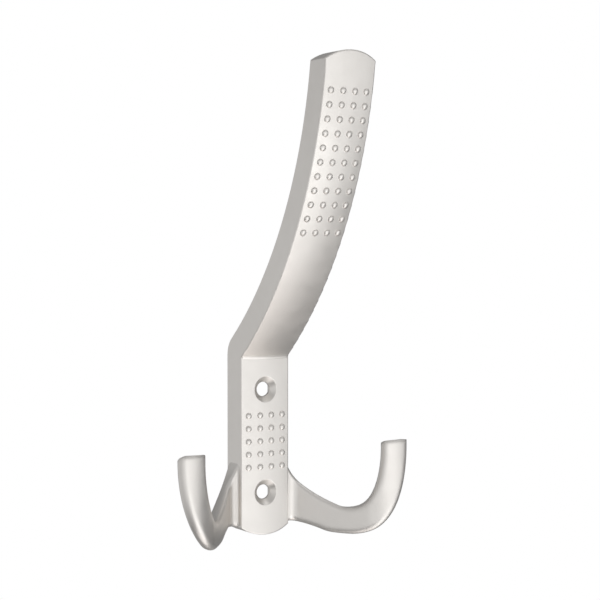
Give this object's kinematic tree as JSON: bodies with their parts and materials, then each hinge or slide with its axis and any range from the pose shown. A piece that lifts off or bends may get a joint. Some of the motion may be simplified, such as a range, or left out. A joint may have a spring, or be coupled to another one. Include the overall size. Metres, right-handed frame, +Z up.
{
  "type": "triple robe hook",
  "caption": "Wall-mounted metal robe hook: an upright strip whose upper part curves forward as a tall arm, with a low upturned hook on each side, raised dots and countersunk screw holes.",
  "frame": {"origin": "on the wall plane, midway between the two screw holes", "axes": "+Z up along the bar, +Y into the wall, +X to the right as seen from the room"},
  "size_m": [0.0794, 0.0581, 0.1452],
  "materials": {
    "satin_metal": "satin nickel plate over a fine blasted zinc casting"
  },
  "bodies": {
    "root": {"hook_casting": "satin_metal"}
  },
  "joints": []
}
